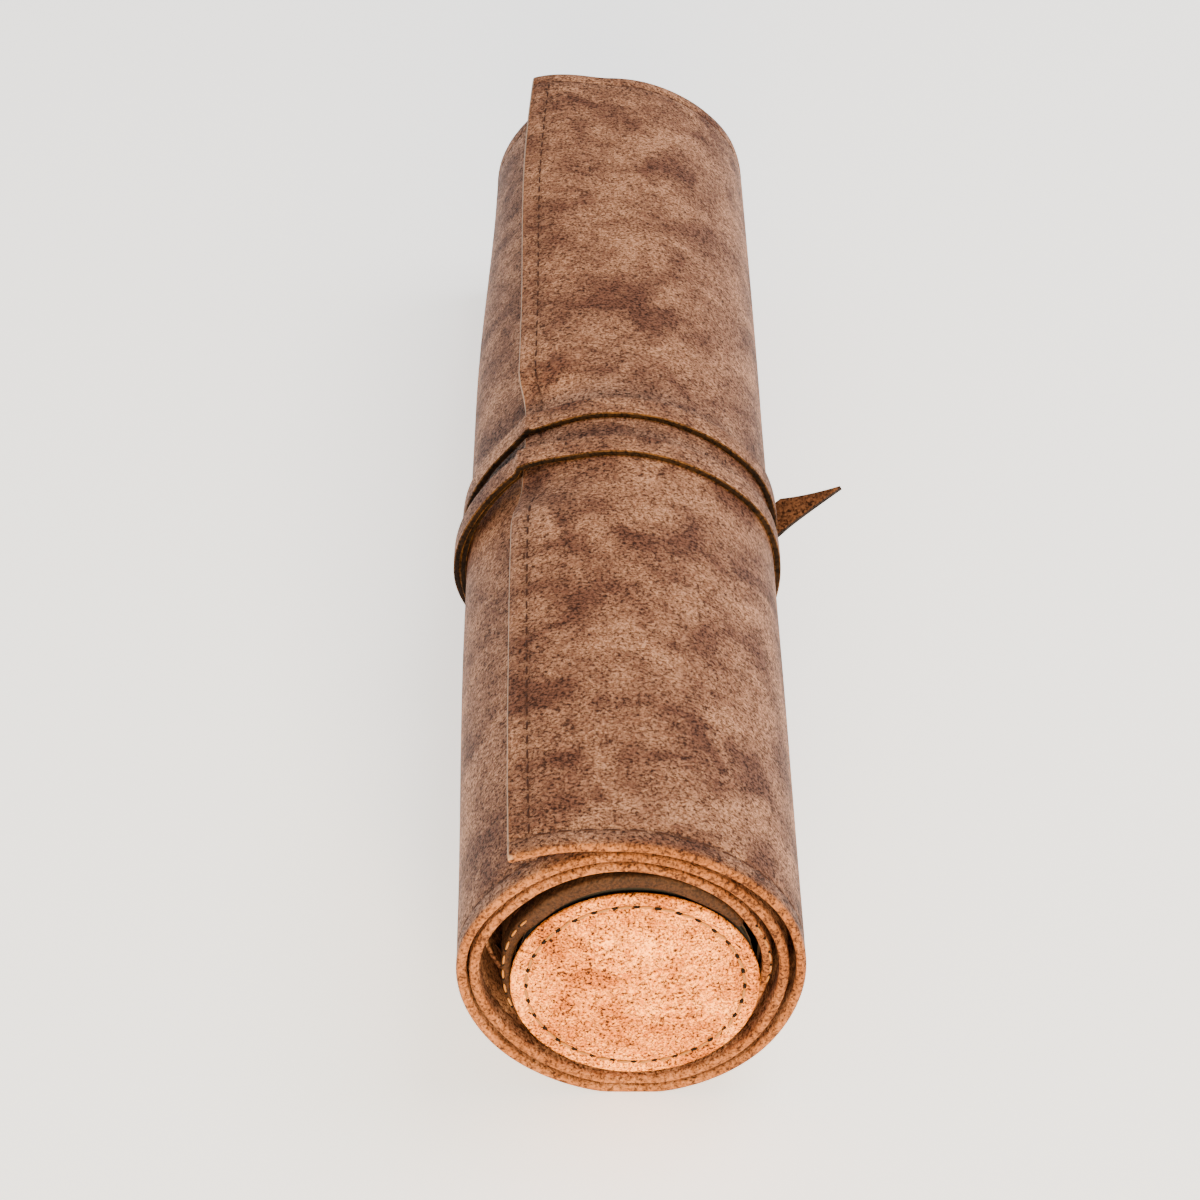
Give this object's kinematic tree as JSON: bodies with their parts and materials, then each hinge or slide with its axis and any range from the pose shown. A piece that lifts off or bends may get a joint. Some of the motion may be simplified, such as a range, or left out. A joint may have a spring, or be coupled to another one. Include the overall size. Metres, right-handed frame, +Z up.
{
  "type": "roll-up pencil case",
  "caption": "Rolled leather pencil case: a zipped cylindrical pouch in a spiral wrap, held shut by a flat strap with a free pointed tail",
  "frame": {"origin": "centre of the bounding box's base, on the surface that the case lies on", "axes": "+Z up, +Y along the roll from the end that is seen to the far end, +X towards the free tail of the strap"},
  "size_m": [0.0578, 0.203, 0.0438],
  "materials": {
    "wrap_leather": "mottled waxed brown leather",
    "wrap_lining": "dark brown lining",
    "pocket_panel": "mottled waxed brown leather",
    "drum_wall": "mottled waxed brown leather",
    "drum_lining": "dark brown lining",
    "end_panel_near": "grained tan-brown leather",
    "end_board_near": "dark stiffener board",
    "end_lining_near": "dark brown lining",
    "end_panel_far": "grained tan-brown leather",
    "end_board_far": "dark stiffener board",
    "end_lining_far": "dark brown lining",
    "zip_tape_a": "woven dark tape",
    "zip_tape_b": "woven dark tape",
    "zip_teeth_a": "aged brass",
    "zip_teeth_b": "aged brass",
    "zip_stop_near": "aged brass",
    "zip_stop_far": "aged brass",
    "zip_slider": "aged brass",
    "zip_slider_back": "aged brass",
    "zip_pull": "aged brass",
    "strap": "brown leather with dark cut edges",
    "strap_tail": "brown leather with dark cut edges"
  },
  "bodies": {
    "case": {"wrap_leather": "wrap_leather", "wrap_lining": "wrap_lining", "pocket_panel": "pocket_panel", "drum_wall": "drum_wall", "drum_lining": "drum_lining", "end_panel_near": "end_panel_near", "end_board_near": "end_board_near", "end_lining_near": "end_lining_near", "end_panel_far": "end_panel_far", "end_board_far": "end_board_far", "end_lining_far": "end_lining_far", "zip_tape_a": "zip_tape_a", "zip_tape_b": "zip_tape_b", "zip_teeth_a": "zip_teeth_a", "zip_teeth_b": "zip_teeth_b", "zip_stop_near": "zip_stop_near", "zip_stop_far": "zip_stop_far", "strap": "strap"},
    "zip": {"zip_slider": "zip_slider", "zip_slider_back": "zip_slider_back", "zip_pull": "zip_pull"},
    "tail": {"strap_tail": "strap_tail"}
  },
  "joints": [
    {"name": "zip_slide", "type": "slide", "parent": "case", "child": "zip", "axis": [0, -1, 0], "range_m": [0, 0.16]},
    {"name": "tail_bend", "type": "hinge", "parent": "case", "child": "tail", "pos_m": [0.01725, -0.0001, 0.01733], "axis": [0, -1, 0], "range_deg": [-40, 10]}
  ]
}
